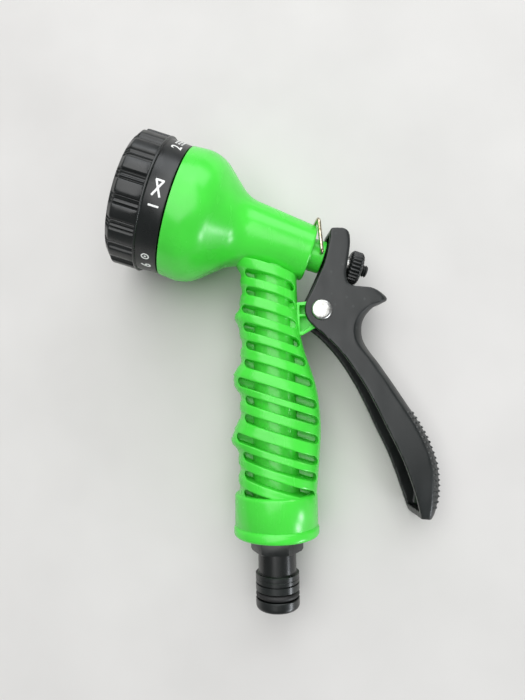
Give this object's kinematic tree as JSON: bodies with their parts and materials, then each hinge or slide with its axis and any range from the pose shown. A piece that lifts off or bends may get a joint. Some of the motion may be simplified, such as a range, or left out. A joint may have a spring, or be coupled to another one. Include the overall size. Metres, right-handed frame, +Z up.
{
  "type": "hose spray nozzle",
  "caption": "Rear-trigger garden hose spray nozzle with a turning pattern dial, ribbed grip, thumb nut, wire lock clip and quick-connect spigot.",
  "frame": {"origin": "Centre of the bounding box's underside: the nozzle lies on its side, as it rests on a table.", "axes": "+Z up, across the nozzle; +Y along the handle from the hose end towards the barrel; +X from the grip towards the trigger, so the dial is at -X."},
  "size_m": [0.13, 0.1898, 0.0572],
  "materials": {
    "green_plastic": "moulded ABS, semi-gloss",
    "black_plastic": "moulded black plastic, satin",
    "trigger_plastic": "fine-textured dark grey plastic",
    "inner_plastic": "natural white plastic",
    "rubber": "smooth black rubber",
    "steel": "zinc-plated steel",
    "wire": "bright yellow-passivated spring wire"
  },
  "bodies": {
    "body": {"body_shell": "green_plastic", "connector_oring": "rubber", "detent_ball": "steel", "detent_spring": "steel", "dial_screw": "steel", "dial_washer": "steel", "end_collar": "green_plastic", "filter_screen": "steel", "gland_bush": "inner_plastic", "handle_grip": "green_plastic", "inlet_washer": "rubber", "manifold_disc": "black_plastic", "pivot_rivet": "steel", "port_seal": "rubber", "port_spring": "steel", "quick_connector": "black_plastic", "return_spring": "steel", "stem_oring": "rubber"},
    "dial": {"dial_ring": "black_plastic", "selector_disc": "inner_plastic", "chamber_block": "inner_plastic", "spray_face": "black_plastic", "cone_insert": "black_plastic", "mist_insert": "black_plastic"},
    "stem": {"valve_stem": "black_plastic", "valve_seal": "rubber"},
    "washer": {"thrust_washer": "steel"},
    "nut": {"adjusting_nut": "black_plastic"},
    "trigger": {"trigger_lever": "trigger_plastic"},
    "clip": {"lock_clip": "wire"}
  },
  "joints": [
    {"name": "dial_turn", "type": "hinge", "parent": "body", "child": "dial", "pos_m": [0.00102, 0.05094, 0.02252], "axis": [-0.9441, 0.3032, 0.129], "continuous": true},
    {"name": "trigger_pivot", "type": "hinge", "parent": "body", "child": "trigger", "pos_m": [0.01948, 0.02198, 0.01889], "axis": [-0.1203, 0.0473, -0.9916], "range_deg": [0, 15], "stiffness_Nm_per_rad": 0.48, "springref_deg": -20.05},
    {"name": "stem_slide", "type": "slide", "parent": "body", "child": "stem", "axis": [0.9441, -0.3032, -0.129], "range_m": [0, 0.0058], "deforming": ["return_spring"]},
    {"name": "washer_slide", "type": "slide", "parent": "stem", "child": "washer", "axis": [0.9441, -0.3032, -0.129], "range_m": [0, 0.00201]},
    {"name": "nut_turn", "type": "hinge", "parent": "washer", "child": "nut", "pos_m": [0.03406, 0.04033, 0.018], "axis": [0.9441, -0.3032, -0.129], "range_deg": [0, 720]},
    {"name": "clip_swing", "type": "hinge", "parent": "body", "child": "clip", "pos_m": [0.0199, 0.04488, 0.01994], "axis": [-0.1203, 0.0473, -0.9916], "range_deg": [0, 34]}
  ],
  "couplings": [
    {"joint": "stem_slide", "follows": "trigger_pivot", "m_per_rad": 0.021928},
    {"joint": "washer_slide", "follows": "nut_turn", "m_per_rad": 0.00015915}
  ]
}
